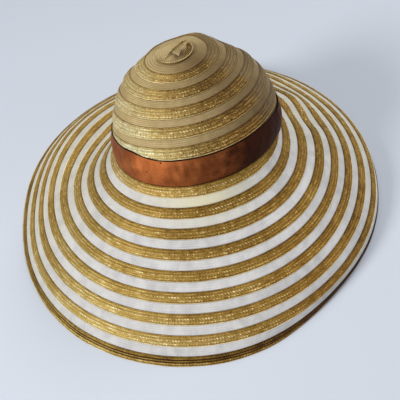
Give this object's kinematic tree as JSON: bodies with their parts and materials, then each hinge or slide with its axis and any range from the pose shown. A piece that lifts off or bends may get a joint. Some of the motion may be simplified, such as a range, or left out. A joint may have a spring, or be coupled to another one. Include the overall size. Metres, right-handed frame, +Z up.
{
  "type": "picture hat",
  "caption": "Wide-brimmed sun hat: rows of straw braid with sheer crinoline between, a soft oval crown with a twisted tip, a satin ribbon and a drooping brim.",
  "frame": {"origin": "middle of the hat's box, on the floor that its rim rests on", "axes": "+Z up, -Y towards the front of the hat, +X towards its right as seen from the front"},
  "size_m": [0.5008, 0.5156, 0.2308],
  "materials": {
    "straw_braid": "natural gold straw braid with a soft sheen",
    "crown_crinoline": "sheer crinoline in a double layer, khaki, with fine parallel filaments",
    "brim_crinoline": "sheer ivory crinoline, see-through, with fine parallel filaments",
    "satin_ribbon": "rust-brown satin with soft folds"
  },
  "bodies": {
    "root": {"crown_tip": "crown_crinoline", "crown_sheer_1": "crown_crinoline", "crown_sheer_2": "crown_crinoline", "crown_sheer_3": "crown_crinoline", "crown_sheer_4": "crown_crinoline", "crown_sheer_5": "crown_crinoline", "crown_straw_1": "straw_braid", "crown_straw_2": "straw_braid", "crown_straw_3": "straw_braid", "crown_straw_4": "straw_braid", "crown_straw_5": "straw_braid", "crown_base": "crown_crinoline", "hat_band": "satin_ribbon", "brim_straw_1": "straw_braid", "brim_straw_2": "straw_braid", "brim_straw_3": "straw_braid", "brim_straw_4": "straw_braid", "brim_straw_5": "straw_braid", "brim_straw_6": "straw_braid", "brim_straw_7": "straw_braid", "brim_straw_8": "straw_braid", "brim_sheer_1": "brim_crinoline", "brim_sheer_2": "brim_crinoline", "brim_sheer_3": "brim_crinoline", "brim_sheer_4": "brim_crinoline", "brim_sheer_5": "brim_crinoline", "brim_sheer_6": "brim_crinoline", "brim_sheer_7": "brim_crinoline", "brim_sheer_8": "brim_crinoline", "rim": "straw_braid"}
  },
  "joints": []
}
